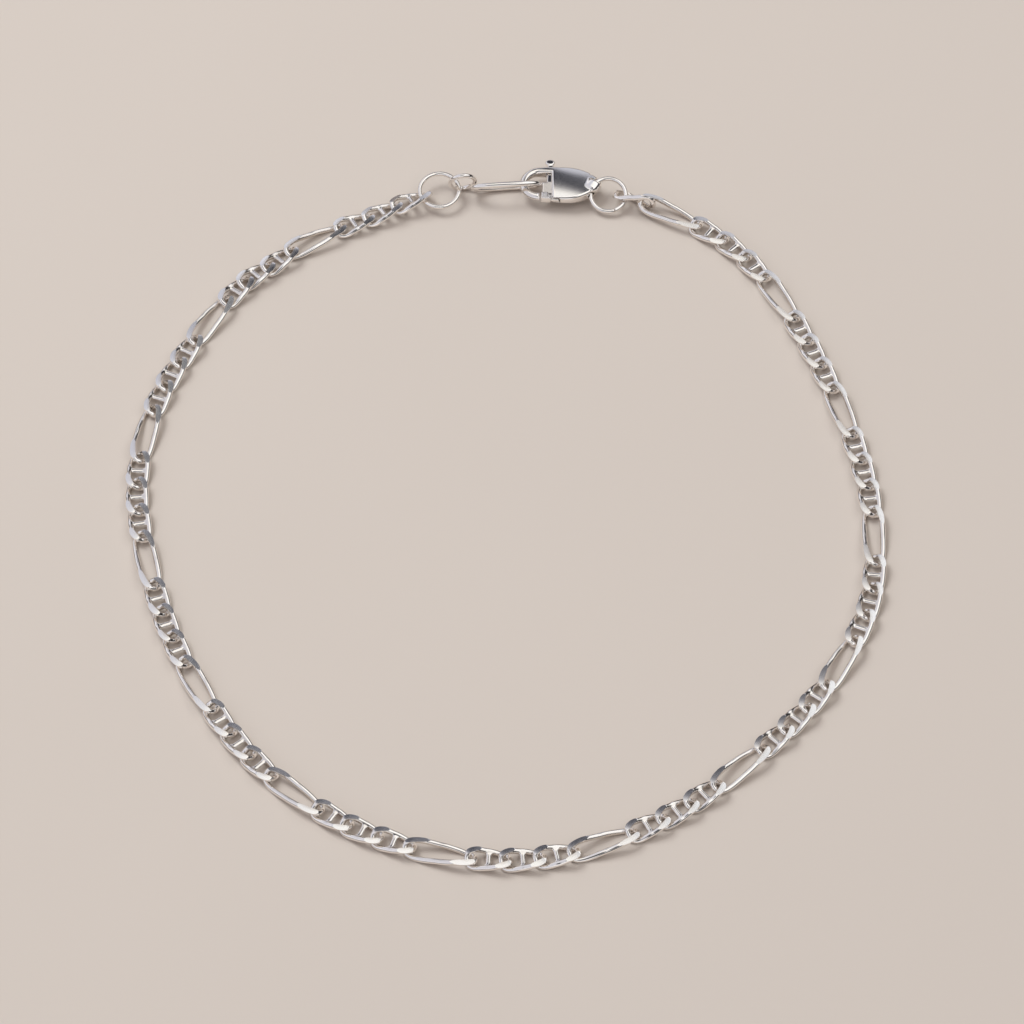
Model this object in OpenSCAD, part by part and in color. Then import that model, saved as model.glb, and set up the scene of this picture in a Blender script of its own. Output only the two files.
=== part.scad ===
// Figaro chain anklet in polished silver, laid down as a closed loop.
// Three short barred links follow each long open link. The chain starts at the adjuster ring, runs
// round the loop and ends at the clasp ring. The lobster clasp closes on the long end link, which a
// small jump ring holds to the adjuster ring. X is to the right, Y is across to the clasp's side of
// the loop, Z is up from the surface that the anklet lies on.

/* [Chain] */
// Thickness of the wire that the links are bent from
wire_d = 0.6; // [0.56:0.02:0.62]
// Outside length of a short link
short_l = 4.86; // [4.84:0.02:4.9]
// Outside length of a long link
long_l = 7.68; // [7.64:0.02:7.74]
// Outside width of every link
link_w = 2.5; // [2.48:0.02:2.56]
// Outside length of the plain end link that the clasp hooks on
end_link_l = 7.8; // [7.75:0.05:7.85]
// Outside width of the end link
end_link_w = 3.1; // [3.05:0.05:3.2]
// Thickness of the chain after both its faces are filed flat
filed_t = 1.1; // [1:0.05:1.2]
// How far the two ends of a link lean out of its plane
lean = 0.45; // [0.44:0.01:0.47]
// Slack between two links where the chain is drawn straight
slack = 0.3; // [0.28:0.01:0.32]

/* [Rings] */
// Outside diameter of the adjuster ring
adjuster_ring_d = 4.76; // [4.7:0.02:4.8]
// Outside diameter of the clasp ring
clasp_ring_d = 4.3; // [4.26:0.02:4.34]
// Outside diameter of the small jump ring that carries the end link
jump_ring_d = 3.2; // [3.18:0.02:3.24]
// Wire of the three rings
ring_wire_d = 0.5; // [0.4:0.02:0.54]

/* [Clasp] */
// Thickness of the clasp at its thickest
clasp_t = 1.5; // [1.4:0.05:1.6]
// Width of the hook across its bend
hook_w = 4.3; // [4.2:0.05:4.4]
// Width of the window inside the hook
window_w = 2.6; // [2.5:0.05:2.7]
// Thickness of the lever inside the clasp
lever_t = 0.45; // [0.4:0.05:0.5]
// Width of the lever's thumb knob
knob_d = 1.1; // [0.9:0.05:1.2]
// How far the lever opens, in degrees
lever_open = 26; // [20:1:28]

/* [Hidden] */
$fn = 48;
silver = [0.85, 0.84, 0.82];

// The laid anklet's middle, moved to the origin
LOOP_MIDDLE = [-0.3, 1.8];
module laid(at, turn = [0, 0, 0]) {
    color(silver) translate([at.x - LOOP_MIDDLE.x, at.y - LOOP_MIDDLE.y, at.z]) rotate(turn) children();
}

// The middle of the chain's run round the loop, from the adjuster ring to the clasp ring
ROUTE = [[-10.1, 41.1], [-20.5, 36], [-28, 30], [-34.5, 19.5], [-37.5, 10.5], [-38, 1], [-35, -12],
    [-30.5, -22], [-24.5, -30.5], [-15.5, -37.5], [-5, -41], [4.5, -41], [15, -37], [23.5, -30.5],
    [31, -22.5], [36.5, -12], [37.5, -1], [36, 9], [32.5, 20], [27.5, 30.5], [21.5, 37], [11, 42.5]];

// Links that lie rolled, turned, set aside to the left, raised, with their forward end up, or
// gathered towards the next link
LIES_LINK = 0;
ROLL = 1;
TURN = 2;
ASIDE = 3;
RAISED = 4;
RISE = 5;
GATHERED = 6;
LIES = [
    [0, 18, -2, 0, 0.24, -4, 0],
    [1, 13, 2, 0, 0.09, -4, 0],
    [2, 7, 0, 0, 0, 0, 0.1],
    [3, 6, 0, 0, 0, 0, 0.1],
    [4, 7, 5, 0.2, 0, 0, 0.15],
    [5, 6, -4, 0.1, 0, 0, 0.35],
    [6, 3, 0, 0, 0, 0, 0.1],
    [54, -2, 1, 0, 0, 0, 0],
    [55, 1, 1, 0, 0.05, 4, 0.55],
    [56, 55, 4, 0.08, 0.04, -4.5, 0]];

// Stations round a link's oval, in degrees. The crossbar of a short link joins its two sides
// between the stations next to 90 and next to 270.
QUARTER = [15, 38, 62, 86];
STATIONS = [for (turn = [0, 180])
    each [for (t = QUARTER) turn + t, for (i = [3:-1:0]) turn + 180 - QUARTER[i]]];
SIDES = 6;
LINKS = 57;
HALF = 29;
OVAL_POWER = 0.75;

function unit(v) = v / norm(v);
function is_long(i) = i % 4 == 3;
function link_l(i) = is_long(i) ? long_l : short_l;
function lie(i, column) =
    let(row = [for (r = LIES) if (r[LIES_LINK] == i) r])
    len(row) > 0 ? row[0][column] : 0;

// One point of a link's centre line: an oval squarer than an ellipse, with each end leaning
function squared(v) = sign(v) * pow(abs(v), OVAL_POWER);
function oval_point(l, w, t, ends_lean) = [
    (l - wire_d) / 2 * squared(cos(t)),
    (w - wire_d) / 2 * squared(sin(t)),
    -ends_lean * sin(2 * t)];

// The wire's six-sided section at one station, its top and bottom filed to the chain's thickness
WIRE = wire_d * [[1, -0.5], [1, 0.5], [0, 1], [-1, 0.5], [-1, -0.5], [0, -1]] / 2;
function filed(p) = [p.x, p.y, max(-filed_t / 2, min(filed_t / 2, p.z))];
function section(l, w, t, ends_lean) =
    let(along = unit(oval_point(l, w, t + 1, ends_lean) - oval_point(l, w, t - 1, ends_lean)),
        out = unit(cross(along, [0, 0, 1])),
        up = cross(out, along))
    [for (p = WIRE) filed(oval_point(l, w, t, ends_lean) + p.x * out + p.y * up)];
function link_points(l) = [for (t = STATIONS) each section(l, link_w, t, lean)];
function plain_link_points(l, w) = [for (t = STATIONS) each section(l, w, t, 0)];

// Faces of the closed tube, and of the crossbar that takes the place of two of its inner faces
BAR_FROM = 3;
BAR_TO = 11;
INNER_SIDE = 3;
function corner(k, j) = (k % len(STATIONS)) * SIDES + j % SIDES;
function two_triangles(a, b, c, d) = [[a, b, c], [a, c, d]];
function link_faces(barred) = [
    for (k = [0:len(STATIONS) - 1], j = [0:SIDES - 1])
        if (!(barred && j == INNER_SIDE && (k == BAR_FROM || k == BAR_TO)))
            each two_triangles(corner(k, j), corner(k, j + 1), corner(k + 1, j + 1), corner(k + 1, j)),
    if (barred)
        let(a = BAR_FROM, b = BAR_TO, low = INNER_SIDE, high = INNER_SIDE + 1)
            each [
                each two_triangles(corner(a, low), corner(b + 1, low), corner(b, low), corner(a + 1, low)),
                each two_triangles(corner(a, high), corner(a + 1, high), corner(b, high), corner(b + 1, high)),
                each two_triangles(corner(a, low), corner(a, high), corner(b + 1, high), corner(b + 1, low)),
                each two_triangles(corner(a + 1, low), corner(b, low), corner(b, high), corner(a + 1, high))]];

module link(l, barred) {
    polyhedron(link_points(l), link_faces(barred));
}

module plain_link(l, w) {
    polyhedron(plain_link_points(l, w), link_faces(false));
}

// The run as a smooth curve through ROUTE, and its length up to each of its points
SPAN_STEPS = 8;
function route_at(i) = ROUTE[max(0, min(len(ROUTE) - 1, i))];
function smooth(i, t) =
    let(a = route_at(i - 1), b = route_at(i), c = route_at(i + 1), d = route_at(i + 2))
    b + t * (c - a) / 2
        + t * t * (2 * a - 5 * b + 4 * c - d) / 2
        + t * t * t * (3 * b - a - 3 * c + d) / 2;
RUN = [
    for (i = [0:len(ROUTE) - 2], k = [0:SPAN_STEPS - 1]) smooth(i, k / SPAN_STEPS),
    route_at(len(ROUTE) - 1)];
RUN_LAST = len(RUN) - 1;
RUN_LENGTH = [for (i = 0, s = 0; i <= RUN_LAST;
    s = s + norm(RUN[min(i + 1, RUN_LAST)] - RUN[i]), i = i + 1) s];
function run_point(s) = [
    lookup(s, [for (i = [0:RUN_LAST]) [RUN_LENGTH[i], RUN[i].x]]),
    lookup(s, [for (i = [0:RUN_LAST]) [RUN_LENGTH[i], RUN[i].y]])];

// How far along the run each link's middle lies
function pitch(i) = (link_l(i) + link_l(i + 1)) / 2 - 2 * wire_d - slack - lie(i, GATHERED);
LINK_AT = [for (i = 0, s = 0; i < LINKS; s = s + pitch(i), i = i + 1) s];

// A link rests on its lowest point once it is rolled and its forward end is lifted
function lowest(l, roll, rise) = min([for (p = link_points(l))
    p.x * sin(rise) + (p.y * sin(roll) + p.z * cos(roll)) * cos(rise)]);

module laid_link(i) {
    reach = link_l(i) / 2;
    here = run_point(LINK_AT[i]);
    ahead = unit(run_point(LINK_AT[i] + reach) - run_point(LINK_AT[i] - reach));
    place = here + lie(i, ASIDE) * [-ahead.y, ahead.x];
    rest_z = lie(i, RAISED) - lowest(link_l(i), lie(i, ROLL), lie(i, RISE));
    laid([place.x, place.y, rest_z], [0, 0, atan2(ahead.y, ahead.x) + lie(i, TURN)])
        rotate([0, -lie(i, RISE), 0]) rotate([lie(i, ROLL), 0, 0])
            link(link_l(i), !is_long(i));
}

module chain_ring_half() {
    for (i = [0:HALF - 1]) laid_link(i);
}

module chain_clasp_half() {
    for (i = [HALF:LINKS - 1]) laid_link(i);
}

// The closing parts cross the top of the loop, each placed by its middle and leaning on the next
ADJUSTER_RING_AT = [-7.05, 42.3, 1.22];
ADJUSTER_RING_TURN = [7, 0, 0];
JUMP_RING_AT = [-4.54, 43.13, 1.61];
JUMP_RING_TURN = [-80, 0, 6];
END_LINK_AT = [0.14, 42.66, 1.42];
END_LINK_TURN = [-59, 1.5, 5];
CLASP_RING_AT = [11.17, 41.5, 1.2];
CLASP_RING_TURN = [18, 0, 0];
CLASP_AT = [1.55, 42.79, 1.36];

module ring(d) {
    rotate_extrude() translate([(d - ring_wire_d) / 2, 0]) circle(d = ring_wire_d);
}

module adjuster_ring() {
    laid(ADJUSTER_RING_AT, ADJUSTER_RING_TURN) ring(adjuster_ring_d);
}

module jump_ring() {
    laid(JUMP_RING_AT, JUMP_RING_TURN) ring(jump_ring_d);
}

module end_link() {
    laid(END_LINK_AT, END_LINK_TURN) plain_link(end_link_l, end_link_w);
}

module clasp_ring() {
    laid(CLASP_RING_AT, CLASP_RING_TURN) ring(clasp_ring_d);
}

// The clasp has its own frame: x from the hook's bend towards the eye, y to the knob's side.
// Its tail is a drop shape between two arcs, each starting level at its shoulder, that meet at the
// tip. A channel in the tail clears the clasp ring.
HOOK_MID = [hook_w / 2, 0.1];
TAIL_R = 4.7;
FAR_SHOULDER = [5, 2.2];
NEAR_SHOULDER = [5, -2.3];
TIP_R = 0.5;
TIP_MID = [8.4, -0.1];
CHANNEL_CLEAR = 0.13;
WINDOW_MID = [window_w / 2 + 0.9, 0.1];
WINDOW_END_X = 3.5;
CLEAR = 0.1;

// Lever: its pivot, its gate, the web that stiffens it, its arm, and the slot that it swings in
PIVOT = [4.3, -1.5];
PIN_R = 0.22;
BORE_R = 0.3;
PIN_L = 0.9;
HUB_R = 0.5;
HUB_CLEAR = 0.12;
SLIT_X = 2.27;
GATE_T = 0.9;
GATE_THICK_X = 3.1;
GATE_LIP_X = 3.4;
GATE_LIP_Y = -1.8;
GATE_X = 2.5;
WEB_X = 3;
WEB_Y = 0.3;
ARM_NEAR = [4.6, -1.1];
ARM_FAR = [3.65, 3];
ARM_W = 0.5;
KNOB_AT = [3.4, 3];
KNOB_SHAPE = [1, 0.8, 0.7];
SLOT_X = 2.9;

// Eye: a short tube that the clasp ring threads, turned along the ring's wire
EYE_ANGLE = 148;
EYE_R = 0.75;
EYE_HOLE_R = 0.43;
EYE_L = 1;

// How much a crowned face falls away over its edges, by the radius of the crown
CROWN_ACROSS_R = 9;
CROWN_ALONG_R = 30;
CROWN_MID_X = 5.4;
CROWN_TURN = -15;

module hook_plan() {
    translate(HOOK_MID) circle(d = hook_w);
}

// The whole outline: the hook's bend, the two shoulders and the tip
module outline_plan() {
    hull() {
        hook_plan();
        intersection() {
            translate([FAR_SHOULDER.x, FAR_SHOULDER.y - TAIL_R]) circle(TAIL_R, $fn = 144);
            translate([NEAR_SHOULDER.x, NEAR_SHOULDER.y + TAIL_R]) circle(TAIL_R, $fn = 144);
            translate([0, -hook_w]) square([TIP_MID.x, 2 * hook_w]);
        }
        translate(TIP_MID) circle(TIP_R);
    }
}

module window_plan() {
    translate(WINDOW_MID) circle(d = window_w);
    translate([WINDOW_MID.x, WINDOW_MID.y - window_w / 2])
        square([WINDOW_END_X - WINDOW_MID.x, window_w]);
}

// Near side of the hook, from its tip to the tail, which the gate closes
module gate_opening_plan() {
    translate([SLIT_X, -hook_w])
        square([WINDOW_END_X - SLIT_X, hook_w + WINDOW_MID.y - window_w / 2 + CLEAR]);
}

// A point of the closed lever, carried round the pivot to where it is with the lever open
function swung(p) = let(v = p - PIVOT)
    PIVOT + [v.x * cos(lever_open) + v.y * sin(lever_open), v.y * cos(lever_open) - v.x * sin(lever_open)];

// The slot is open to the window and to both edges of the clasp
module slot_plan() {
    polygon([[SLOT_X, -hook_w], [SLOT_X, hook_w],
        swung(ARM_FAR + [2 * CLEAR, hook_w]), swung(ARM_FAR + [2 * CLEAR, 0]),
        swung(ARM_NEAR + [2 * CLEAR, 0]), [PIVOT.x + CLEAR, PIVOT.y], [PIVOT.x + CLEAR, -hook_w]]);
    translate(PIVOT) circle(HUB_R + HUB_CLEAR);
}

// Top and bottom faces each fall away across the clasp and along it, about a slanting ridge
module crowned_block() {
    intersection_for (side = [-1, 1]) intersection() {
        translate([CROWN_MID_X, 0, side * (clasp_t / 2 - CROWN_ACROSS_R)]) rotate([0, 0, CROWN_TURN])
            rotate([0, 90, 0]) cylinder(h = 6 * hook_w, r = CROWN_ACROSS_R, center = true, $fn = 180);
        translate([CROWN_MID_X, 0, side * (clasp_t / 2 - CROWN_ALONG_R)])
            rotate([90, 0, 0]) cylinder(h = 3 * hook_w, r = CROWN_ALONG_R, center = true, $fn = 300);
    }
}

// Children stand on the clasp ring's wire where it passes the eye, with Z along the wire
module on_ring_wire() {
    translate(CLASP_RING_AT - CLASP_AT) rotate(CLASP_RING_TURN) rotate([0, 0, EYE_ANGLE])
        translate([(clasp_ring_d - ring_wire_d) / 2, 0, 0]) rotate([90, 0, 0]) children();
}

module clasp_body() {
    laid(CLASP_AT) difference() {
        union() {
            difference() {
                intersection() {
                    linear_extrude(clasp_t, center = true) difference() {
                        outline_plan();
                        window_plan();
                        gate_opening_plan();
                    }
                    crowned_block();
                }
                linear_extrude(lever_t + 2 * CLEAR, center = true) slot_plan();
            }
            translate([PIVOT.x, PIVOT.y, 0]) cylinder(h = PIN_L, r = PIN_R, center = true);
            on_ring_wire() cylinder(h = EYE_L, r = EYE_R, center = true);
        }
        on_ring_wire() cylinder(h = EYE_L + 2 * CLEAR, r = EYE_HOLE_R, center = true);
        translate(CLASP_RING_AT - CLASP_AT) rotate(CLASP_RING_TURN) rotate_extrude()
            translate([(clasp_ring_d - ring_wire_d) / 2, 0]) circle(ring_wire_d / 2 + CHANNEL_CLEAR);
    }
}

// The lever's gate follows the hook's outline, and its arm runs under the far edge to the knob
module gate_plan() {
    intersection() {
        outline_plan();
        translate([SLIT_X + CLEAR, -hook_w])
            square([PIVOT.x - SLIT_X - CLEAR, hook_w + WINDOW_MID.y - window_w / 2]);
    }
}

module clasp_lever() {
    laid(CLASP_AT) {
        difference() {
            union() {
                linear_extrude(lever_t, center = true) {
                    gate_plan();
                    translate(PIVOT) circle(HUB_R);
                    polygon([[GATE_X, PIVOT.y], [GATE_X, WEB_Y], [WEB_X, WEB_Y], [ARM_FAR.x - ARM_W, ARM_FAR.y],
                        ARM_FAR, ARM_NEAR, PIVOT]);
                }
                linear_extrude(GATE_T, center = true) intersection() {
                    gate_plan();
                    union() {
                        translate([0, -hook_w]) square([GATE_THICK_X, hook_w]);
                        translate([0, -hook_w]) square([GATE_LIP_X, hook_w + GATE_LIP_Y]);
                    }
                }
            }
            translate([PIVOT.x, PIVOT.y, 0]) cylinder(h = 2 * lever_t, r = BORE_R, center = true);
        }
        translate([KNOB_AT.x, KNOB_AT.y, 0]) scale(KNOB_SHAPE) sphere(d = knob_d);
    }
}

chain_ring_half();
chain_clasp_half();
end_link();
jump_ring();
adjuster_ring();
clasp_ring();
clasp_body();
clasp_lever();
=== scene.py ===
# Figaro chain anklet in polished silver, laid closed on a pale surface, seen from the front.
# Sizes are in millimetres and angles in degrees, both as in the part's own source. Each mesh, the
# light and the camera are turned to metres as they are made. Noise scales are in waves a metre.
import math
import bpy
import numpy as np
from mathutils import Matrix, Vector


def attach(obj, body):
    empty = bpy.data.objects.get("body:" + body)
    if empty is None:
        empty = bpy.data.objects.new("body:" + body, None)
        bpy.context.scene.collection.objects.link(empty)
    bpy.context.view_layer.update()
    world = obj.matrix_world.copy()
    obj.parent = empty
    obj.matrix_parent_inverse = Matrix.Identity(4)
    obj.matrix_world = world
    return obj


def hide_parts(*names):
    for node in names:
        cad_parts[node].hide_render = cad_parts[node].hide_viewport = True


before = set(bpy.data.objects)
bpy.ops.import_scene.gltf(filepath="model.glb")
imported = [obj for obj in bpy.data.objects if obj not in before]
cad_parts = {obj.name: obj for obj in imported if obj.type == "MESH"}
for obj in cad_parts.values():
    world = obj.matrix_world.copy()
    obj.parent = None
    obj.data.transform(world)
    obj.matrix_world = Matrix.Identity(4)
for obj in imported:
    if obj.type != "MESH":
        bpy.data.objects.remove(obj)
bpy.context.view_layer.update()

# Chain. Each link is an oval of round sterling silver wire whose two ends lean out of its plane, so
# that a row of links lies flat. Three short ones with a crossbar follow each long one. The finished
# chain is filed flat on both faces and polished, and its links just hang in each other.
WIRE_D, SHORT_L, LONG_L, LINK_W = 0.6, 4.86, 7.68, 2.5
FILED_T, LEAN, SLACK, OVAL_POWER = 1.1, 0.45, 0.3, 0.75
DOME, LEAST_CUT, CREASE = 8, 10, 28
STATIONS, WALL_FACES, FLAT_FACES, OVAL_STEPS, TANGENT_STEP = 96, 8, 4, 7200, 0.03
AROUND = 2 * (WALL_FACES + FLAT_FACES)
BAR_HALF_W, BAR_HALF_H, BAR_FLARE, BAR_INNER, BAR_FOOT_INNER = 0.27, 0.17, 0.3, 0.25, 0.75
BAR_HALF_STATIONS, BAR_FIRST_SIDE, BAR_SIDES = 3, 14, 4
BAR_LEVELS = (0.02, 0.05, 0.09, 0.14, 0.2, 0.3, 0.4)
LINKS, HALF, GRAIN_APART = 57, 29, 3.7

# The middle of the chain's run round the loop, from the adjuster ring to the clasp ring
LOOP_MIDDLE = np.array((-0.3, 1.8, 0))
ROUTE = np.array([
    (-10.1, 41.1), (-20.5, 36), (-28, 30), (-34.5, 19.5), (-37.5, 10.5), (-38, 1), (-35, -12),
    (-30.5, -22), (-24.5, -30.5), (-15.5, -37.5), (-5, -41), (4.5, -41), (15, -37), (23.5, -30.5),
    (31, -22.5), (36.5, -12), (37.5, -1), (36, 9), (32.5, 20), (27.5, 30.5), (21.5, 37), (11, 42.5)])
SPAN_STEPS = 8
# Links that don't lie plain: rolled, turned, set aside, raised, forward end up, gathered
LIES = {
    0: (18, -2, 0, 0.24, -4, 0), 1: (13, 2, 0, 0.09, -4, 0), 2: (7, 0, 0, 0, 0, 0.1),
    3: (6, 0, 0, 0, 0, 0.1), 4: (7, 5, 0.2, 0, 0, 0.15), 5: (6, -4, 0.1, 0, 0, 0.35),
    6: (3, 0, 0, 0, 0, 0.1), 54: (-2, 1, 0, 0, 0, 0), 55: (1, 1, 0, 0.05, 4, 0.55),
    56: (55, 4, 0.08, 0.04, -4.5, 0)}
PLAIN = (0, 0, 0, 0, 0, 0)

# Filed and brushed faces keep fine parallel scratches. The wire's inner side and other corners are
# painted a little darker and warmer, partly as tarnish and partly as painted shade
POLISHED, FILED, TARNISH_AND_SHADE = (0.95, 0.915, 0.88, 1), (0.88, 0.87, 0.87, 1), (0.62, 0.55, 0.48, 1)
POLISHED_ROUGHNESS, HANDLED_ROUGHNESS, TARNISH_AND_SHADE_ROUGHNESS = 0.09, 0.06, 0.2
SCRATCH_STRETCH, SCRATCH_SCALE, SCRATCH_STAIN = (1.2, 22, 6), 2.6, 0.15
CLOUD_SCALE, HANDLED_SCALE, HANDLED_DEPTH, RELIEF = 420, 2600, 0.25, 0.04
CLOUDED, STAINED = (0.2, 0.75), (0.6, 0.8)


class Shade:
    """A socket of a material's or the room's nodes. Sums on it add Math nodes, and node() any other."""

    def __init__(self, tree, plug):
        self.tree, self.plug = tree, plug

    def node(self, kind, settings, values, output=0):
        made = self.tree.nodes.new(kind)
        for name, value in settings.items():
            if name == "stops":
                stops = made.color_ramp.elements
                for extra in value[2:]:
                    stops.new(1)
                for stop, (place, colour) in zip(stops, value):
                    stop.position, stop.color = place, (*colour, 1)
            else:
                setattr(made, name, value)
        for name, value in values.items():
            plugs = [p for p in made.inputs if p.identifier == name] or [made.inputs[name]]
            if isinstance(value, Shade):
                self.tree.links.new(value.plug, plugs[0])
            else:
                plugs[0].default_value = value
        return Shade(self.tree, made.outputs[output])

    def maths(self, operation, first, second):
        return self.node("ShaderNodeMath", {"operation": operation}, {"Value": first, "Value_001": second})

    def __add__(self, other):
        return self.maths("ADD", self, other)

    __radd__ = __add__

    def __sub__(self, other):
        return self.maths("SUBTRACT", self, other)

    def __rsub__(self, other):
        return self.maths("SUBTRACT", other, self)

    def __mul__(self, other):
        return self.maths("MULTIPLY", self, other)

    __rmul__ = __mul__

    def colour(self, base, over):
        """The colour base where this mask is 0, and over where it is 1."""
        mix = {"data_type": "RGBA", "clamp_factor": True}
        return self.node("ShaderNodeMix", mix, {"Factor_Float": self, "A_Color": base, "B_Color": over}, 2)

    def between(self, low, high):
        """0 below low, 1 above high, and smooth in between."""
        return self.node("ShaderNodeMapRange", {"interpolation_type": "SMOOTHSTEP"},
                         {"Value": self, "From Min": low, "From Max": high})

    def ramp(self, stops):
        """The colour that the stops give for this value."""
        return self.node("ShaderNodeValToRGB", {"stops": stops}, {"Fac": self})

    def noise(self, scale, detail, roughness=0.5):
        """Soft noise over this place."""
        return self.node("ShaderNodeTexNoise", {},
                         {"Vector": self, "Scale": scale, "Detail": detail, "Roughness": roughness})

    def relief(self, strength, distance):
        """A surface's direction, with this height on it over that distance."""
        return self.node("ShaderNodeBump", {},
                         {"Height": self, "Strength": strength, "Distance": distance / 1000})

    def into(self, shader, socket):
        self.tree.links.new(self.plug, shader.inputs[socket])


def blank_material(name):
    """A new material, its shader, and the place on the object to start sums from."""
    material = bpy.data.materials.new(name)
    material.use_nodes = True
    tree = material.node_tree
    place = tree.nodes.new("ShaderNodeTexCoord")
    return material, tree.nodes["Principled BSDF"], Shade(tree, place.outputs["Object"])


def silver(name, scratch_depth, filed_roughness, tarnish_and_shade_share):
    """Polished silver. On each mesh, "filed" is 1 on filed or brushed faces, "inner" is 1 where the
    colour is painted darker and warmer, partly tarnish and partly painted shade, and "grain" is a
    place on the piece, with x along the scratches."""
    material, metal, place = blank_material(name)
    filed, inner, grain = (place.node("ShaderNodeAttribute", {"attribute_name": layer}, {}, output)
                           for layer, output in (("filed", 2), ("inner", 2), ("grain", 1)))
    stretched = place.node("ShaderNodeVectorMath", {"operation": "MULTIPLY"},
                           {"Vector": grain, "Vector_001": SCRATCH_STRETCH})
    scratches = stretched.noise(SCRATCH_SCALE, 3, 0.6)
    handled = place.noise(HANDLED_SCALE, 3)
    # Painted shade and tarnish: where "inner" is high, in soft clouds, the colour turns darker and warmer
    tarnish_and_shade = inner * place.noise(CLOUD_SCALE, 2).between(*CLOUDED) * tarnish_and_shade_share
    stained = scratches.between(*STAINED) * filed * SCRATCH_STAIN
    tarnish_and_shade.colour(stained.colour(filed.colour(POLISHED, FILED), TARNISH_AND_SHADE), TARNISH_AND_SHADE).into(metal, "Base Color")
    rougher = POLISHED_ROUGHNESS + HANDLED_ROUGHNESS * handled
    rougher = rougher + filed * (filed_roughness - POLISHED_ROUGHNESS) + tarnish_and_shade * TARNISH_AND_SHADE_ROUGHNESS
    rougher.into(metal, "Roughness")
    height = scratches * filed + handled * (1 - filed) * HANDLED_DEPTH
    height.relief(scratch_depth, RELIEF).into(metal, "Normal")
    metal.inputs["Metallic"].default_value = 1
    return material


chain_silver = silver("chain_silver", 0.05, 0.15, 0.75)


def piece(name, points, faces, finish, body, filed, inner, grain):
    """One object from points in millimetres, shown for the part's nodes and riding on their body."""
    mesh = bpy.data.meshes.new(name)
    mesh.from_pydata((np.asarray(points) / 1000).tolist(), [], faces.tolist())
    mesh.materials.append(finish)
    layers = (("filed", "FLOAT", "FACE", filed), ("inner", "FLOAT", "POINT", inner),
              ("grain", "FLOAT_VECTOR", "POINT", grain))
    for layer, kind, domain, values in layers:
        field = "vector" if kind == "FLOAT_VECTOR" else "value"
        made_layer = mesh.attributes.new(layer, kind, domain)
        made_layer.data.foreach_set(field, np.asarray(values, np.float32).ravel())
    mesh.shade_smooth()
    made = bpy.data.objects.new(name, mesh)
    bpy.context.scene.collection.objects.link(made)
    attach(made, body)
    return made


def chain_piece(name, node, points, faces, filed, inner, grain):
    """A piece of links, with creases where the file's cuts end."""
    made = piece(name, points, faces, chain_silver, "anklet", filed, inner, grain)
    made.data.set_sharp_from_angle(angle=math.radians(CREASE))
    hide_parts(node)


def tube_faces(rows, sides):
    """Quads of a closed tube with that many points along it and round it, in rows."""
    number = np.arange(rows * sides).reshape(rows, sides)
    after = np.roll(number, -1, 0)
    return np.stack([number, after, np.roll(after, -1, 1), np.roll(number, -1, 1)], -1)


def unit(vectors):
    return vectors / np.linalg.norm(vectors, axis=1)[:, None]


def oval(length, width, lean, turn):
    """The middle of a link's wire: an oval squarer than an ellipse, with each end leaning."""
    across, along = np.sin(turn), np.cos(turn)
    return np.stack([(length - WIRE_D) / 2 * np.sign(along) * np.abs(along) ** OVAL_POWER,
                     (width - WIRE_D) / 2 * np.sign(across) * np.abs(across) ** OVAL_POWER,
                     -lean * np.sin(2 * turn)], -1)


def filed_wire(length, width, lean):
    """Points of a link's wire in rows round it, and its filed and inner measures. The file cuts the
    wire's top where it stands above the chain's face, and its bottom likewise. Each cut falls away
    outward by DOME, so that the faces are a little domed across the link."""
    line = oval(length, width, lean, np.linspace(0, 2 * math.pi, OVAL_STEPS + 1))
    run = np.r_[0, np.cumsum(np.linalg.norm(np.diff(line, axis=0), axis=1))]
    at = np.arange(STATIONS) / STATIONS * run[-1]

    def on_line(s):
        return np.stack([np.interp(s % run[-1], run, line[:, axis]) for axis in range(3)], -1)

    middle = on_line(at)
    ahead = unit(on_line(at + TANGENT_STEP) - on_line(at - TANGENT_STEP))
    out = unit(np.cross(ahead, (0, 0, 1)))
    up = np.cross(out, ahead)
    wire_r, least, quarter = WIRE_D / 2, math.radians(LEAST_CUT), math.pi / 2
    fall = wire_r * math.tan(math.radians(DOME))
    rise = wire_r * up[:, 2]
    reach, offset = np.hypot(rise, fall), np.arctan2(fall, rise)
    top, low = (np.arccos(np.clip((FILED_T / 2 - fall - side * middle[:, 2]) / reach, -1, math.cos(least)))
                for side in (1, -1))
    stretches = [
        (low - quarter + offset, 2 * (quarter - offset) - top - low, WALL_FACES),
        (quarter - offset - top, 2 * top, FLAT_FACES),
        (quarter - offset + top, 2 * (quarter + offset) - top - low, WALL_FACES),
        (3 * quarter + offset - low, 2 * low, FLAT_FACES)]
    angle = np.concatenate([first[:, None] + wide[:, None] * np.arange(count) / count
                            for first, wide, count in stretches], 1)
    round_wire = np.cos(angle)[..., None] * out[:, None] + np.sin(angle)[..., None] * up[:, None]
    points = middle[:, None] + wire_r * round_wire
    face = FILED_T / 2 - fall * (1 + np.cos(angle))
    points[..., 2] = points[..., 2].clip(-face, face)
    filed = np.zeros((STATIONS, AROUND))
    # Where the file doesn't reach the wire, the least cut only keeps the rows in their order
    for cut, side in ((top, WALL_FACES), (low, AROUND - FLAT_FACES)):
        is_cut = cut > least * 1.01
        filed[:, side:side + FLAT_FACES] = (is_cut & np.roll(is_cut, -1))[:, None]
    # The inner measure is how far the wire faces into its link. The silver is painted darker there, partly
    # as tarnish and partly as painted shade
    return points, filed, (-np.cos(angle)).clip(0, 1)


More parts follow.
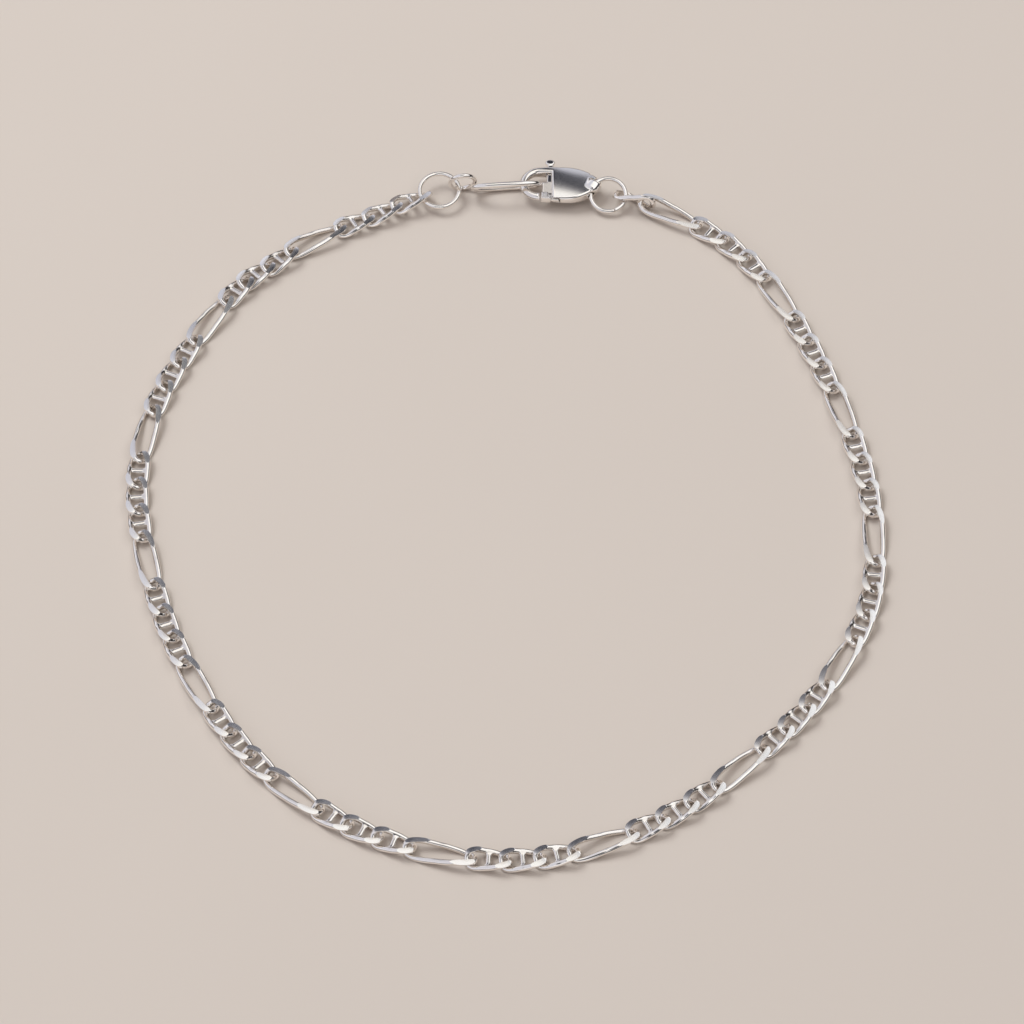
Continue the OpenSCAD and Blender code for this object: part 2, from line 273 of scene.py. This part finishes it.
def link_shape(length, width, lean, barred):
    """Points, faces, and the filed and inner measures of one link about its own middle."""
    points, filed, inner = filed_wire(length, width, lean)
    faces, kept = tube_faces(STATIONS, AROUND), np.ones((STATIONS, AROUND), bool)
    points, inner = points.reshape(-1, 3), inner.ravel()
    if not barred:
        return points, faces[kept], filed[kept], inner
    # The crossbar grows out of both inner walls: a patch of each is opened and the two are joined
    wide, opposite = 2 * BAR_HALF_STATIONS, STATIONS // 2
    first, side, high = STATIONS // 4 - BAR_HALF_STATIONS, BAR_FIRST_SIDE, BAR_SIDES
    for opening in (first, first + opposite):
        kept[opening:opening + wide, side:side + high] = False
    edge = [(k, 0) for k in range(wide)] + [(wide, j) for j in range(high)]
    edge += [(wide - k, high) for k in range(wide)] + [(0, high - j) for j in range(high)]
    near, far = (np.array([station * AROUND + side + j for station, j in rim]) for rim in (
        [(first + k, j) for k, j in edge], [(first + opposite + wide - k, j) for k, j in edge]))
    spread = np.ptp(points[near], axis=0)
    way = np.arctan2(points[near, 2] / spread[2], points[near, 0] / spread[0])
    bar = np.stack([BAR_HALF_W * np.cos(way), BAR_HALF_H * np.sin(way)], -1)
    clear = np.linalg.norm(points[near].mean(0) - points[far].mean(0))
    rings = [near]
    for level in (*BAR_LEVELS, *(1 - v for v in reversed(BAR_LEVELS))):
        spot = points[near] + (points[far] - points[near]) * level
        flare = max(0, 1 - min(level, 1 - level) * clear / BAR_FLARE) ** 2
        spot[:, [0, 2]] = bar + (spot[:, [0, 2]] - bar) * flare
        rings.append(len(points) + np.arange(len(edge)))
        points = np.r_[points, spot]
        # The crossbar is painted darker too, partly as tarnish and partly as painted shade, most at its
        # feet
        inner = np.r_[inner, np.full(len(edge), BAR_INNER + (BAR_FOOT_INNER - BAR_INNER) * flare)]
    rings.append(far)
    walls = [np.stack([a, np.roll(a, -1), np.roll(b, -1), b], -1) for a, b in zip(rings, rings[1:])]
    walls = np.concatenate(walls)
    return points, np.r_[faces[kept], walls], np.r_[filed[kept], np.zeros(len(walls))], inner


def smooth_route():
    """The route as a curve through all its points, and its length up to each point of the curve."""
    points = []
    for i in range(len(ROUTE) - 1):
        a, b, c, d = (ROUTE[min(max(i + step, 0), len(ROUTE) - 1)] for step in (-1, 0, 1, 2))
        for t in np.arange(SPAN_STEPS) / SPAN_STEPS:
            points.append(b + t * (c - a) / 2 + t * t * (2 * a - 5 * b + 4 * c - d) / 2
                          + t ** 3 * (3 * b - a - 3 * c + d) / 2)
    points = np.array([*points, ROUTE[-1]])
    return points, np.r_[0, np.cumsum(np.linalg.norm(np.diff(points, axis=0), axis=1))]


def route_point(s):
    return np.array([np.interp(s, route_run, route_line[:, axis]) for axis in (0, 1)])


def turned(points, angles, axes="XYZ"):
    """Points turned about each axis, one after the other."""
    for axis, angle in zip(axes, angles):
        points = points @ np.array(Matrix.Rotation(math.radians(angle), 3, axis)).T
    return points


def is_long(i):
    return i % 4 == 3


def laid_chain(name, node, first, last):
    """One half of the chain, its links laid along the route and resting on the surface."""
    links, count, s = [], 0, 0
    for i in range(last):
        length, following = (LONG_L if is_long(k) else SHORT_L for k in (i, i + 1))
        roll, turn, aside, raised, rise, gathered = LIES.get(i, PLAIN)
        if i >= first:
            shape, faces, filed, inner = LINK_SHAPES[is_long(i)]
            ahead = route_point(s + length / 2) - route_point(s - length / 2)
            ahead /= np.linalg.norm(ahead)
            laid = turned(shape, (roll, -rise, math.degrees(math.atan2(ahead[1], ahead[0])) + turn))
            place = route_point(s) + aside * np.array([-ahead[1], ahead[0]])
            place = np.array((*place, raised - laid[:, 2].min())) - LOOP_MIDDLE
            # Each link's grain is set apart, so that no two links have the same scratches
            links.append((laid + place, faces + count, filed, inner, shape + (0, 0, GRAIN_APART * i)))
            count += len(shape)
        s += (length + following) / 2 - 2 * WIRE_D - SLACK - gathered
    chain_piece(name, node, *(np.concatenate(parts) for parts in zip(*links)))


# The shape of a link for each answer of is_long
LINK_SHAPES = {True: link_shape(LONG_L, LINK_W, LEAN, False),
               False: link_shape(SHORT_L, LINK_W, LEAN, True)}
route_line, route_run = smooth_route()
laid_chain("chain_links_ring_side", "chain_ring_half", 0, HALF)
laid_chain("chain_links_clasp_side", "chain_clasp_half", HALF, LINKS)

# End link. A plain flat oval of the same wire, neither barred nor filed, hangs between the small
# jump ring and the clasp's hook, and lies over on its edge.
END_LINK_L, END_LINK_W = 7.8, 3.1
END_LINK_AT, END_LINK_TURN = (0.14, 42.66, 1.42), (-59, 1.5, 5)
shape, faces, filed, inner = link_shape(END_LINK_L, END_LINK_W, 0, False)
chain_piece("hook_end_link", "end_link", turned(shape, END_LINK_TURN) + END_LINK_AT - LOOP_MIDDLE,
            faces, filed, inner, shape)

# Rings. Three rings of drawn round silver wire, each wound, cut and pushed shut, so that its ends
# meet in a fine butt seam. The larger two lie nearly flat, and the small one stands on edge.
RING_WIRE_D, RING_SIDES, RING_STEPS = 0.5, 24, 120
SEAM_W, SEAM_DARK_W, SEAM_DEPTH = 0.035, 0.0525, 0.3
# Degrees from the seam at which its own points stand, and where the even ones begin
SEAM_STEPS, EVEN_FROM = (0.35, 0.7, 1.1, 1.6, 2.4), 4
# Outside diameter, middle, turn, and where round the ring its seam is
RINGS = {
    "adjuster_ring": (4.76, (-7.05, 42.3, 1.22), (7, 0, 0), 205),
    "jump_ring": (3.2, (-4.54, 43.13, 1.61), (-80, 0, 6), 90),
    "clasp_ring": (4.3, (11.17, 41.5, 1.2), (18, 0, 0), 290)}

for node, (outside, at, turn, seam) in RINGS.items():
    middle_r = (outside - RING_WIRE_D) / 2
    by_seam = [-v for v in reversed(SEAM_STEPS)] + [0] + list(SEAM_STEPS)
    degrees = np.r_[by_seam, np.linspace(EVEN_FROM, 360 - EVEN_FROM, RING_STEPS)]
    from_seam = np.radians(np.minimum(degrees % 360, -degrees % 360)) * middle_r
    wire_r = RING_WIRE_D / 2 * (1 - SEAM_DEPTH * np.exp(-(from_seam / SEAM_W) ** 2))[:, None]
    way, side = np.radians(degrees + seam)[:, None], np.arange(RING_SIDES) * 2 * math.pi / RING_SIDES
    out = middle_r + wire_r * np.cos(side)
    ring = np.stack([out * np.cos(way), out * np.sin(way), wire_r * np.sin(side)], -1).reshape(-1, 3)
    faces = tube_faces(len(degrees), RING_SIDES).reshape(-1, 4)
    in_seam = np.repeat(np.exp(-(from_seam / SEAM_DARK_W) ** 2), RING_SIDES)
    made = piece(node + "_wire", turned(ring, turn) + at - LOOP_MIDDLE, faces, chain_silver, "anklet",
                 np.zeros(len(faces)), in_seam, ring)
    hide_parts(node)

# Clasp body. A lobster clasp's body is cast in silver: the hook round its window, the domed tail with
# the slot that the lever swings in, and the eye that the clasp ring threads. The lever's pin is riveted
# in it. It is tumbled and polished, and its crown keeps a fine brushed grain.
CLASP_AT, CLASP_T, HOOK_W, WINDOW_W = np.array((1.55, 42.79, 1.36)), 1.5, 4.3, 2.6
HOOK_MID, WINDOW_MID = np.array((HOOK_W / 2, 0.1)), np.array((WINDOW_W / 2 + 0.9, 0.1))
WINDOW_END_X, WINDOW_NEAR_Y = 3.5, WINDOW_MID[1] - WINDOW_W / 2
TAIL_R, FAR_SHOULDER, NEAR_SHOULDER, TIP_MID, TIP_R = 4.7, (5, 2.2), (5, -2.3), (7.7, -0.07), 1.2
CROWN_ACROSS_R, CROWN_ALONG_R, CROWN_MID_X, CROWN_TURN, CROWN_BLEND = 9, 30, 5.4, -15, 0.3
PIVOT, PIN_R, PIN_L, HUB_R, HUB_CLEAR = np.array((4.3, -1.5)), 0.22, 0.9, 0.5, 0.12
CLEAR, LEVER_T, SLIT_X, SLOT_X, LEVER_OPEN = 0.1, 0.45, 2.27, 2.9, 26
ARM_NEAR, ARM_FAR, ARM_W = np.array((4.6, -1.1)), np.array((3.65, 3)), 0.5
EYE_ANGLE, EYE_R, EYE_HOLE_R, EYE_L, EYE_EDGE_R, EYE_FILLET = 148, 0.75, 0.43, 1, 0.2, 0.35
CHANNEL_CLEAR, CHANNEL_EDGE, SLOT_EDGE = 0.13, 0.08, 0.04
CAST_EDGE_R, HOOK_EDGE_R, HOOK_EDGE_RUN = 0.27, 0.4, 1.5
# Brushed where the skin faces up or down and lies in from every edge, behind the hook
BRUSHED_FACING, BRUSHED_INSET, BRUSHED_FROM_X, BRUSHED_RUN = (0.93, 0.98), (0.12, 0.32), 3.6, 0.4
# Painted shade and tarnish deep in the slot, where the skin is near mid-thickness and in from the
# outline: the colour there turns darker and warmer, and the skin a little rougher
HIDDEN_THICK, HIDDEN_INSET = 0.5, (-0.05, 0.05)
BODY_BOX, BODY_STEP = ((-0.21, -2.72, -1.12), (9.3, 2.6, 1.3)), 0.05
SLOPE_STEP, LEAST_STEEP, MOST_MOVE, RELAXINGS = 0.004, 0.05, 0.03, 3
clasp_silver = silver("clasp_silver", 0.06, 0.15, 0.6)
ring_outside, ring_at, ring_turn, ring_seam = RINGS["clasp_ring"]
ring_middle_r, ring_at = (ring_outside - RING_WIRE_D) / 2, ring_at - CLASP_AT


def disc(p, middle, radius):
    return np.hypot(p[:, 0] - middle[0], p[:, 1] - middle[1]) - radius


def all_of(*depths):
    return np.maximum.reduce(depths)


def any_of(*depths):
    return np.minimum.reduce(depths)


def melted(a, b, width):
    """Both shapes together, with a fillet where they meet."""
    share = np.clip(0.5 + 0.5 * (b - a) / width, 0, 1)
    return b * (1 - share) + a * share - width * share * (1 - share)


def cut_from(a, b, width):
    """Shape a less shape b, with its new edge softened."""
    return -melted(-a, b, width)


def plate(plan, thick, edge_r):
    """A plate with that plan and half thickness, its edges rounded."""
    side, face = plan + edge_r, thick + edge_r
    outside = np.hypot(np.maximum(side, 0), np.maximum(face, 0))
    return np.minimum(np.maximum(side, face), 0) + outside - edge_r


def share_between(values, low, high):
    """0 below low, 1 above high, and straight in between."""
    return np.clip((values - low) / (high - low), 0, 1)


def inside_outline(p, corners):
    """Distance in plan from an outline of straight sides, less than 0 inside it."""
    corners = np.array(corners)
    near, odd = np.full(len(p), 1e9), np.zeros(len(p), bool)
    for a, b in zip(corners, np.roll(corners, -1, 0)):
        side, off = b - a, p[:, :2] - a
        share = np.clip(off @ side / (side @ side), 0, 1)
        near = np.minimum(near, np.hypot(*(off - share[:, None] * side).T))
        crosses = (a[1] > p[:, 1]) != (b[1] > p[:, 1])
        odd ^= crosses & (off[:, 0] < side[0] * off[:, 1] / (side[1] or 1e-9))
    return np.where(odd, -near, near)


def swung(point):
    """A point of the closed lever, carried round the pivot to where it is with the lever open."""
    turn = math.radians(LEVER_OPEN)
    x, y = np.array(point) - PIVOT
    return PIVOT + (x * math.cos(turn) + y * math.sin(turn), y * math.cos(turn) - x * math.sin(turn))


def long_edge(p, shoulder, side):
    """Distance outside one long edge: the hook's bend, a straight tangent to it, and the tail's arc."""
    arc_mid = np.array((shoulder[0], shoulder[1] - side * TAIL_R))
    span = arc_mid - HOOK_MID
    facing = math.atan2(span[1], span[0]) + side * math.acos((HOOK_W / 2 - TAIL_R) / np.linalg.norm(span))
    out = np.array((math.cos(facing), math.sin(facing)))
    run = np.array((out[1], -out[0])) * side
    off = p[:, :2] - HOOK_MID
    hook, straight, arc = disc(p, HOOK_MID, HOOK_W / 2), off @ out - HOOK_W / 2, disc(p, arc_mid, TAIL_R)
    return np.where(off @ run < 0, hook, np.where(off @ run < span @ run, straight, arc))


def clasp_outline(p):
    tip = np.where(p[:, 0] > TIP_MID[0], disc(p, TIP_MID, TIP_R), -TIP_R)
    return all_of(long_edge(p, FAR_SHOULDER, 1), long_edge(p, NEAR_SHOULDER, -1), tip)


def window(p):
    straight = all_of(WINDOW_MID[0] - p[:, 0], p[:, 0] - WINDOW_END_X,
                      np.abs(p[:, 1] - WINDOW_MID[1]) - WINDOW_W / 2)
    return any_of(disc(p, WINDOW_MID, WINDOW_W / 2), straight)


def crowned_hook(p):
    """The hook and the domed tail, before the eye is added and the slot is cut."""
    ridge, thick = math.radians(CROWN_TURN), np.abs(p[:, 2]) - CLASP_T / 2
    along = p[:, 0] - CROWN_MID_X
    off_ridge = p[:, 1] * math.cos(ridge) - along * math.sin(ridge)
    over_across = thick + CROWN_ACROSS_R - np.sqrt(CROWN_ACROSS_R ** 2 - off_ridge ** 2)
    over_along = thick + CROWN_ALONG_R - np.sqrt(CROWN_ALONG_R ** 2 - along ** 2)
    gate_way = all_of(SLIT_X - p[:, 0], p[:, 0] - WINDOW_END_X, p[:, 1] - (WINDOW_NEAR_Y + CLEAR))
    plan = all_of(clasp_outline(p), -window(p), -gate_way)
    on_hook = share_between(-p[:, 0], -WINDOW_END_X, HOOK_EDGE_RUN - WINDOW_END_X)
    edge_r = CAST_EDGE_R + (HOOK_EDGE_R - CAST_EDGE_R) * on_hook
    return plate(plan, cut_from(over_across, -over_along, CROWN_BLEND), edge_r)


def cast_body(p):
    """Distance from the clasp body's skin, less than 0 inside it."""
    # The eye stands round the clasp ring's wire, and a channel of the tail leaves the ring room
    spot, wire = turned(turned(np.array([(ring_middle_r, 0, 0), (0, -1, 0)]), (0, 0, EYE_ANGLE)), ring_turn)
    off = p - ring_at - spot
    down = off @ wire
    off_wire = np.linalg.norm(off - down[:, None] * wire, axis=1)
    eye = plate(off_wire - EYE_R, np.abs(down) - EYE_L / 2, EYE_EDGE_R)
    x, y, z = turned(p - ring_at, [-angle for angle in reversed(ring_turn)], "ZYX").T
    channel = np.hypot(np.hypot(x, y) - ring_middle_r, z) - RING_WIRE_D / 2 - CHANNEL_CLEAR
    shell = cut_from(melted(crowned_hook(p), eye, EYE_FILLET), channel, CHANNEL_EDGE)
    shell = cut_from(shell, all_of(off_wire - EYE_HOLE_R, np.abs(down) - EYE_L / 2 - CLEAR), CHANNEL_EDGE)
    slot = inside_outline(p, [
        (SLOT_X, -HOOK_W), (SLOT_X, HOOK_W), swung(ARM_FAR + (2 * CLEAR, HOOK_W)),
        swung(ARM_FAR + (2 * CLEAR, 0)), swung(ARM_NEAR + (2 * CLEAR, 0)),
        (PIVOT[0] + CLEAR, PIVOT[1]), (PIVOT[0] + CLEAR, -HOOK_W)])
    slot = any_of(slot, disc(p, PIVOT, HUB_R + HUB_CLEAR))
    shell = cut_from(shell, all_of(slot, np.abs(p[:, 2]) - LEVER_T / 2 - CLEAR), SLOT_EDGE)
    return any_of(shell, all_of(disc(p, PIVOT, PIN_R), np.abs(p[:, 2]) - PIN_L / 2))


def slope(depth, points):
    """Direction in which depth grows at each point."""
    steps = SLOPE_STEP * np.eye(3)
    return np.stack([depth(points + step) - depth(points - step) for step in steps], -1) / (2 * SLOPE_STEP)


def onto(depth, points):
    """Points moved to where depth is 0."""
    way = slope(depth, points)
    steep = (way * way).sum(1).clip(LEAST_STEEP)
    move = depth(points)[:, None] * way / steep[:, None]
    return points - move.clip(-MOST_MOVE, MOST_MOVE)


def skin(depth, box, step, evened):
    """Points and quads of the closed skin where depth is 0, one point for each cell that it crosses.
    An evened grid has no slivers thinner than a cell."""
    low, high = np.array(box)
    size = np.ceil((high - low) / step).astype(int) + 1
    grid = np.stack(np.meshgrid(*(low[a] + step * np.arange(size[a]) for a in range(3)), indexing="ij"), -1)
    field = depth(grid.reshape(-1, 3)).reshape(size)
    for a in range(3) if evened else ():
        field = (np.roll(field, 1, a) + 2 * field + np.roll(field, -1, a)) / 4
    solid = field < 0
    corners = sum(solid[i:size[0] - 1 + i, j:size[1] - 1 + j, k:size[2] - 1 + k].astype(int)
                  for i in (0, 1) for j in (0, 1) for k in (0, 1))
    crossed = (corners > 0) & (corners < 8)
    number = np.full(crossed.shape, -1)
    number[crossed] = np.arange(crossed.sum())
    points, share = np.zeros((crossed.sum(), 3)), np.zeros(crossed.sum())
    quads, ways = [], np.eye(3, dtype=int)
    for a in range(3):
        one, two = ways[(a + 1) % 3], ways[(a + 2) % 3]
        edge = np.argwhere(np.diff(solid, axis=a))
        inside, here, there = solid[tuple(edge.T)], field[tuple(edge.T)], field[tuple((edge + ways[a]).T)]
        spot = low + step * (edge + ways[a] * (here / (here - there))[:, None])
        around = [number[tuple((edge - off).T)] for off in (one + two, two, 0 * one, one)]
        for cell in around:
            np.add.at(points, cell, spot)
            np.add.at(share, cell, 1)
        quad = np.stack(around, 1)
        quads.append(np.where(inside[:, None], quad, quad[:, ::-1]))
    points, quads = points / share[:, None], np.concatenate(quads)
    ends = np.concatenate([quads[:, [i, (i + 1) % 4]] for i in range(4)])
    for relaxing in range(RELAXINGS):
        total, count = np.zeros_like(points), np.zeros(len(points))
        np.add.at(total, ends[:, 0], points[ends[:, 1]])
        np.add.at(count, ends[:, 0], 1)
        points = 0.5 * points + 0.5 * total / count[:, None]
        points = onto(depth, onto(depth, points))
    return points, quads


def casting(name, node, body, depth, box, step, evened, brushed_from_x, finish):
    """A cast piece of the clasp, brushed where it is flat and away from its edges."""
    points, quads = skin(depth, box, step, evened)
    normal = slope(depth, points)
    normal /= np.linalg.norm(normal, axis=1)[:, None].clip(1e-6)
    inset = -all_of(clasp_outline(points), -window(points))
    brushed = share_between(np.abs(normal[:, 2]), *BRUSHED_FACING) * share_between(inset, *BRUSHED_INSET)
    brushed *= share_between(points[:, 0], brushed_from_x, brushed_from_x + BRUSHED_RUN)
    # The hidden share is painted shade and tarnish, passed on as the "inner" layer
    hidden = share_between(HIDDEN_THICK - np.abs(points[:, 2]), 0, HIDDEN_THICK)
    hidden *= share_between(inset, *HIDDEN_INSET)
    made = piece(name, points + CLASP_AT - LOOP_MIDDLE, quads, finish, body,
                 brushed[quads].mean(1), hidden, points[:, [1, 0, 2]])
    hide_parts(node)


casting("clasp_casting", "clasp_body", "anklet", cast_body, BODY_BOX, BODY_STEP, True,
        BRUSHED_FROM_X, clasp_silver)

# Clasp lever. A second silver casting, thinner than the body: the gate that shuts the hook, the web
# that stiffens it, and the arm whose thumb knob stands out of the far edge. It turns on the body's
# pin, and it is brushed dull wherever it is flat.
GATE_X, GATE_T, GATE_THICK_X, GATE_LIP_X, GATE_LIP_Y, GATE_EDGE_R = 2.5, 0.9, 3.1, 3.4, -1.8, 0.15
GRIPS, GRIP_W, GRIP_DEPTH, GRIP_EDGE = (2.62, 2.84, 3.06, 3.28), 0.08, 0.07, 0.03
WEB_X, WEB_Y, WEB_TAPER, WEB_TAPER_RUN, BORE_R, BORE_EDGE = 3, 0.3, 0.1, 1.5, 0.3, 0.03
KNOB_AT, KNOB_HALF, KNOB_EDGE_R, KNOB_FILLET = (3.4, 3, 0), (0.54, 0.38, 0.3), 0.15, 0.12
LEVER_EDGE_R, LEVER_FILLET = 0.15, 0.08
LEVER_BOX, LEVER_STEP = ((2.2, -2.6, -0.7), (5.1, 3.8, 0.7)), 0.04
lever_silver = silver("lever_silver", 0.1, 0.47, 0.4)


def cast_lever(p):
    """Distance from the lever's skin, less than 0 inside it."""
    half_thick = np.abs(p[:, 2])
    gate = all_of(clasp_outline(p), SLIT_X + CLEAR - p[:, 0], p[:, 0] - PIVOT[0], p[:, 1] - WINDOW_NEAR_Y)
    arm = inside_outline(p, [
        (GATE_X, PIVOT[1]), (GATE_X, WEB_Y), (WEB_X, WEB_Y),
        (ARM_FAR[0] - ARM_W, ARM_FAR[1]), ARM_FAR, ARM_NEAR, PIVOT])
    taper = WEB_TAPER * np.clip(WEB_Y - p[:, 1], 0, WEB_TAPER_RUN) * (p[:, 0] < WINDOW_END_X)
    thin = plate(any_of(gate, disc(p, PIVOT, HUB_R), arm), half_thick - LEVER_T / 2 + taper, LEVER_EDGE_R)
    thick_part = any_of(p[:, 0] - GATE_THICK_X, all_of(p[:, 0] - GATE_LIP_X, p[:, 1] - GATE_LIP_Y))
    thick = plate(all_of(gate, thick_part), half_thick - GATE_T / 2, GATE_EDGE_R)
    for x in GRIPS:
        groove = all_of(np.abs(p[:, 0] - x) - GRIP_W / 2, GATE_T / 2 - GRIP_DEPTH - half_thick)
        thick = cut_from(thick, groove, GRIP_EDGE)
    off = (p - KNOB_AT) / KNOB_HALF
    knob_plan = (np.hypot(off[:, 0], off[:, 1]) - 1) * KNOB_HALF[1]
    knob = plate(knob_plan, half_thick - KNOB_HALF[2], KNOB_EDGE_R)
    lever = melted(melted(thin, thick, LEVER_FILLET), knob, KNOB_FILLET)
    return cut_from(lever, disc(p, PIVOT, BORE_R), BORE_EDGE)


casting("clasp_thumb_lever", "clasp_lever", "lever", cast_lever, LEVER_BOX, LEVER_STEP, False,
        0, lever_silver)

# Surface. A smooth sheet of pale card, which the anklet lies on.
CARD_HALF, CARD, CARD_LIGHTER = 1200, (0.6, 0.52, 0.455, 1), (0.612, 0.5304, 0.4641, 1)
CARD_ROUGHNESS, CARD_GLOSS = 0.75, 0.2
MOTTLE_SCALE, MOTTLED, MOTTLE_SHARE = 18, (0.3, 0.7), 0.5
FIBRE_SCALE, FIBRE_SHARE, FIBRE_DEPTH, FIBRE_RELIEF = 1500, 0.1, 0.1, 0.05
card, card_shader, place = blank_material("pale_card")
card_shader.inputs["Roughness"].default_value = CARD_ROUGHNESS
card_shader.inputs["Specular IOR Level"].default_value = CARD_GLOSS
fibre = place.noise(FIBRE_SCALE, 3)
tone = place.noise(MOTTLE_SCALE, 2).between(*MOTTLED) * MOTTLE_SHARE + fibre * FIBRE_SHARE
tone.colour(CARD, CARD_LIGHTER).into(card_shader, "Base Color")
fibre.relief(FIBRE_DEPTH, FIBRE_RELIEF).into(card_shader, "Normal")
sheet_mesh = bpy.data.meshes.new("pale_surface")
half = CARD_HALF / 1000
corners = [(-half, -half, 0), (half, -half, 0), (half, half, 0), (-half, half, 0)]
sheet_mesh.from_pydata(corners, [], [(0, 1, 2, 3)])
sheet_mesh.materials.append(card)
sheet = bpy.data.objects.new("pale_surface", sheet_mesh)
bpy.context.scene.collection.objects.link(sheet)

# Light. A soft window stands behind on the left. The polished metal mirrors the room round it: a
# pale band and a dark one on the far wall, the white ceiling, the dark shape of whoever takes the
# picture, and the pale room in front. To its sides the room has other colours.
ROOM_STRENGTH = 1.1
# How far the room's bands run askew, and how far from straight ahead its sides begin, as squares
ROOM_TURN, SIDES_FROM, SIDES_MEET = -0.2, (0.01, 0.09), 0.1
# The room's colours from the far wall's foot, 0, over the ceiling to the near wall's foot, 1
BACK_TO_FRONT = [
    (0.00, (0.03, 0.02, 0.016)), (0.06, (0.07, 0.055, 0.05)), (0.12, (0.58, 0.58, 0.63)),
    (0.205, (0.56, 0.56, 0.61)), (0.235, (0.03, 0.03, 0.04)), (0.31, (0.025, 0.025, 0.035)),
    (0.33, (0.3, 0.29, 0.3)), (0.355, (0.8, 0.76, 0.71)), (0.38, (1, 0.97, 0.91)), (0.56, (1, 1, 1)),
    (0.6, (0.3, 0.29, 0.3)), (0.64, (0.04, 0.04, 0.045)), (0.75, (0.04, 0.04, 0.045)),
    (0.8, (0.7, 0.69, 0.7)), (0.9, (0.9, 0.89, 0.91)), (1.0, (0.5, 0.45, 0.42))]
# Colours of the room's two sides, from their foot up
LEFT_UP = [(0.0, (0.05, 0.035, 0.03)), (0.12, (0.12, 0.1, 0.1)), (0.25, (0.5, 0.5, 0.54)),
           (0.42, (0.85, 0.85, 0.9)), (0.6, (0.6, 0.6, 0.66)), (0.75, (0.6, 0.6, 0.66))]
RIGHT_UP = [(0.0, (0.12, 0.095, 0.085)), (0.1, (0.45, 0.43, 0.42)), (0.19, (0.025, 0.022, 0.025)),
            (0.52, (0.025, 0.022, 0.025)), (0.6, (0.85, 0.84, 0.83)), (0.7, (1, 1, 1))]
world = bpy.data.worlds.new("room")
bpy.context.scene.world = world
world.use_nodes = True
tree = world.node_tree
room = tree.nodes["Background"]
room.inputs["Strength"].default_value = ROOM_STRENGTH
way = Shade(tree, tree.nodes.new("ShaderNodeTexCoord").outputs["Generated"])
across, back, height = (way.node("ShaderNodeSeparateXYZ", {}, {"Vector": way}, axis) for axis in range(3))
over = way.maths("ARCTAN2", height, back) * (1 / math.pi) + across * ROOM_TURN
sides = across.between(-SIDES_MEET, SIDES_MEET).colour(height.ramp(LEFT_UP), height.ramp(RIGHT_UP))
(across * across).between(*SIDES_FROM).colour(over.ramp(BACK_TO_FRONT), sides).into(room, "Color")

KEY_AT, KEY_SIDE, KEY_POWER, KEY_COLOUR = (-500, 500, 850), 550, 8, (0.9, 0.96, 1)
key = bpy.data.lights.new("window_light", "AREA")
key.shape, key.size, key.energy, key.color = "SQUARE", KEY_SIDE / 1000, KEY_POWER, KEY_COLOUR
window_light = bpy.data.objects.new("window_light", key)
window_light.location = Vector(KEY_AT) / 1000
window_light.rotation_euler = (-Vector(KEY_AT)).to_track_quat("-Z", "Y").to_euler()
window_light.visible_camera = window_light.visible_glossy = False
bpy.context.scene.collection.objects.link(window_light)

# Camera. It looks down at 54.7 degrees through a long lens.
CAMERA_AT, LOOK_DOWN, CAMERA_ROLL = (0.83, -268.98, 378.05), 54.7, 0.43
LENS, SENSOR, NEAREST, FARTHEST = 158.2, 36, 10, 10000
look_down, roll = math.radians(LOOK_DOWN), math.radians(CAMERA_ROLL)
right, up = Vector((1, 0, 0)), Vector((0, math.sin(look_down), math.cos(look_down)))
back = Vector((0, -math.cos(look_down), math.sin(look_down)))
right, up = right * math.cos(roll) - up * math.sin(roll), right * math.sin(roll) + up * math.cos(roll)
lens = bpy.data.cameras.new("camera")
lens.lens, lens.sensor_width = LENS, SENSOR
lens.clip_start, lens.clip_end = NEAREST / 1000, FARTHEST / 1000
camera = bpy.data.objects.new("camera", lens)
facing = Matrix((right, up, back)).transposed().to_4x4()
camera.matrix_world = Matrix.Translation(Vector(CAMERA_AT) / 1000) @ facing
bpy.context.scene.collection.objects.link(camera)
bpy.context.scene.camera = camera
bpy.context.scene.view_settings.view_transform = "Standard"
